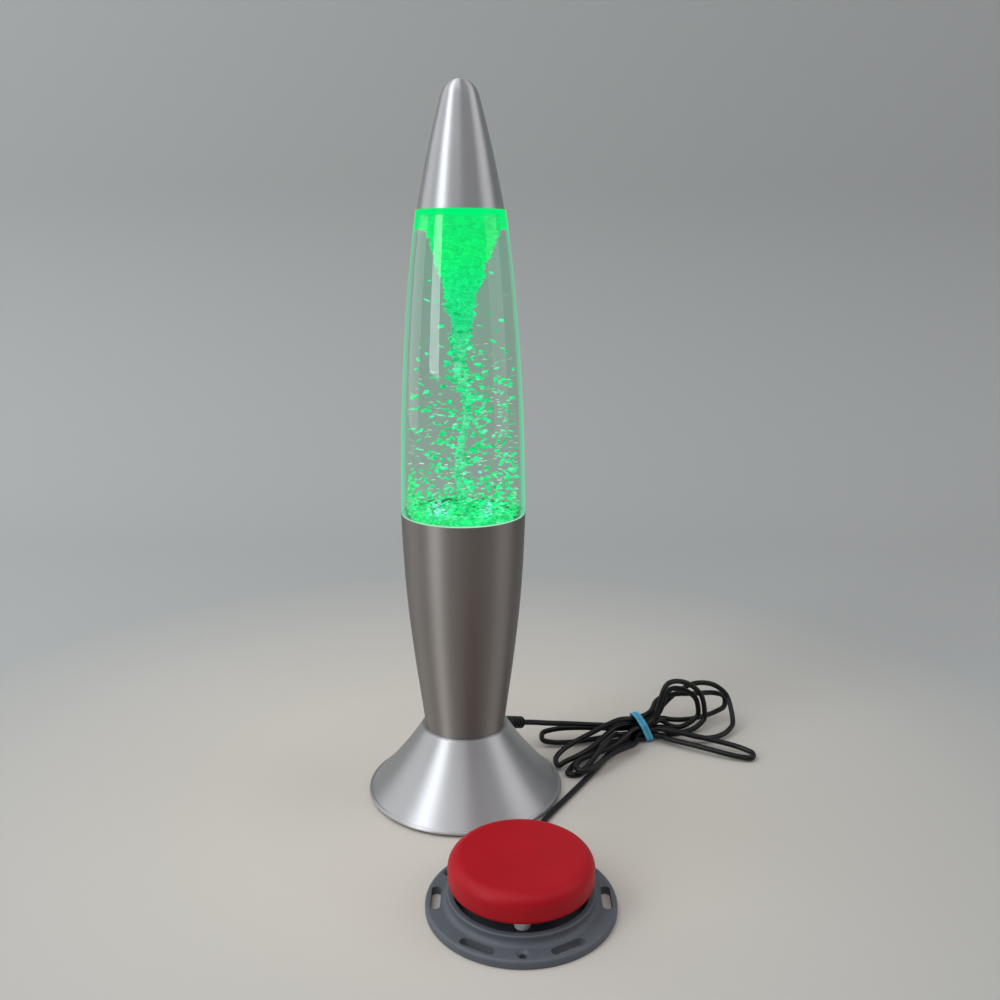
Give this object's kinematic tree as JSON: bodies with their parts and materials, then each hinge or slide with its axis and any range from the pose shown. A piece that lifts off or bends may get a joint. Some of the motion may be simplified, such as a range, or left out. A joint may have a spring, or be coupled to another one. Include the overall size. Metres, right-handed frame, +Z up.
{
  "type": "tornado lamp",
  "caption": "Bullet-shaped tornado lamp: spun metal cone, sleeve and cap round a clear bottle with a green glitter vortex, worked by a round press switch on a cord",
  "frame": {"origin": "on the lamp's axis, at the bottom of its rubber foot ring, level with the table", "axes": "+Z up along the lamp's axis; -Y toward the viewer of the picture, where the press switch lies; +X to the right"},
  "size_m": [0.2108, 0.2285, 0.3498],
  "materials": {
    "spun_aluminium": "satin brushed",
    "rubber_black": "matte",
    "rubber_grey": "matte",
    "plate_black": "matte",
    "moulding_grey": "matte",
    "steel_zinc": "zinc plated",
    "brass_plain": "plain",
    "motor_steel": "satin",
    "magnet_nickel": "bright",
    "board_green": "satin",
    "led_clear": "clear",
    "window_clear": "clear",
    "bottle_clear": "clear, polished",
    "stopper_black": "matte",
    "seal_rubber": "matte",
    "liquid_clear": "clear liquid",
    "glitter_green": "glittering flakes",
    "stirrer_white": "satin",
    "cell_sleeve": "gloss film",
    "component_dark": "matte",
    "wire_red": "satin",
    "cord_black": "satin",
    "band_blue": "satin",
    "switch_grey": "fine matte",
    "disc_red": "satin matte",
    "peg_white": "satin",
    "snap_black": "matte",
    "spring_steel": "bright drawn"
  },
  "bodies": {
    "stand": {"base_cone": "spun_aluminium", "foot_ring": "rubber_black", "base_plate": "plate_black", "base_lugs": "moulding_grey", "plate_screws": "steel_zinc", "neck_gasket": "rubber_grey", "body_sleeve": "spun_aluminium", "neck_tube": "brass_plain", "neck_nuts": "steel_zinc", "motor_frame": "moulding_grey", "motor": "motor_steel", "motor_screws": "steel_zinc", "light_board": "board_green", "leds": "led_clear", "light_window": "window_clear", "seat_ring": "rubber_grey", "battery_tray": "component_dark", "battery_cells": "cell_sleeve", "battery_contacts": "steel_zinc", "battery_springs": "spring_steel", "control_board": "board_green", "board_parts": "component_dark", "power_switch": "component_dark", "cord_strain_relief": "cord_black", "cone_wires": "wire_red", "motor_wires": "wire_red", "light_wires": "wire_red", "cord_tie": "band_blue", "switch_base": "switch_grey", "switch_grommet": "cord_black", "snap_switch": "snap_black", "snap_screws": "steel_zinc", "return_springs": "spring_steel", "switch_wires": "wire_red", "lamp_lead": "cord_black", "cord_hank": "cord_black", "switch_lead": "cord_black"},
    "battery_door": {"battery_door": "plate_black"},
    "power_knob": {"power_knob": "peg_white"},
    "drive": {"motor_shaft": "spring_steel", "magnet_carrier": "stirrer_white", "drive_magnets": "magnet_nickel"},
    "bottle_unit": {"bottle": "bottle_clear", "bottle_stopper": "stopper_black", "stopper_seal": "seal_rubber", "impeller_pin": "spring_steel", "impeller_guard": "window_clear", "glitter_bed": "glitter_green", "liquid": "liquid_clear"},
    "stirrer": {"impeller": "stirrer_white", "impeller_magnets": "magnet_nickel", "glitter_vortex": "glitter_green"},
    "cap": {"top_cap": "spun_aluminium", "cap_liner": "seal_rubber"},
    "press_disc": {"press_disc": "disc_red", "guide_pegs": "peg_white"},
    "snap_lever": {"snap_lever": "spring_steel"},
    "snap_plunger": {"snap_plunger": "disc_red"}
  },
  "joints": [
    {"name": "motor_spin", "type": "hinge", "parent": "stand", "child": "drive", "pos_m": [0, 0, 0.1], "axis": [0, 0, 1], "continuous": true},
    {"name": "bottle_lift", "type": "slide", "parent": "stand", "child": "bottle_unit", "axis": [0, 0, 1], "range_m": [0, 0.06]},
    {"name": "cap_lift", "type": "slide", "parent": "bottle_unit", "child": "cap", "axis": [0, 0, 1], "range_m": [0, 0.05]},
    {"name": "stirrer_spin", "type": "hinge", "parent": "bottle_unit", "child": "stirrer", "pos_m": [0, 0, 0.125], "axis": [0, 0, 1], "continuous": true},
    {"name": "battery_door_hinge", "type": "hinge", "parent": "stand", "child": "battery_door", "pos_m": [0, -0.027, 0.0025], "axis": [-1, 0, 0], "range_deg": [0, 90]},
    {"name": "power_slide", "type": "slide", "parent": "stand", "child": "power_knob", "axis": [0, 1, 0], "range_m": [0, 0.004]},
    {"name": "disc_press", "type": "slide", "parent": "stand", "child": "press_disc", "axis": [0, 0, -1], "range_m": [0, 0.003], "stiffness_N_per_m": 500, "springref_m": -0.004, "deforming": ["return_springs"]},
    {"name": "lever_tilt", "type": "hinge", "parent": "stand", "child": "snap_lever", "pos_m": [0.0192, -0.1018, 0.013], "axis": [0, 1, 0], "range_deg": [0, 13.25]},
    {"name": "plunger_travel", "type": "slide", "parent": "stand", "child": "snap_plunger", "axis": [0, 0, -1], "range_m": [0, 0.00096]}
  ],
  "couplings": [
    {"joint": "motor_spin", "follows": "stirrer_spin", "ratio": 1},
    {"joint": "lever_tilt", "follows": "disc_press", "rad_per_m": 76.8},
    {"joint": "plunger_travel", "follows": "disc_press", "ratio": 0.3167}
  ]
}
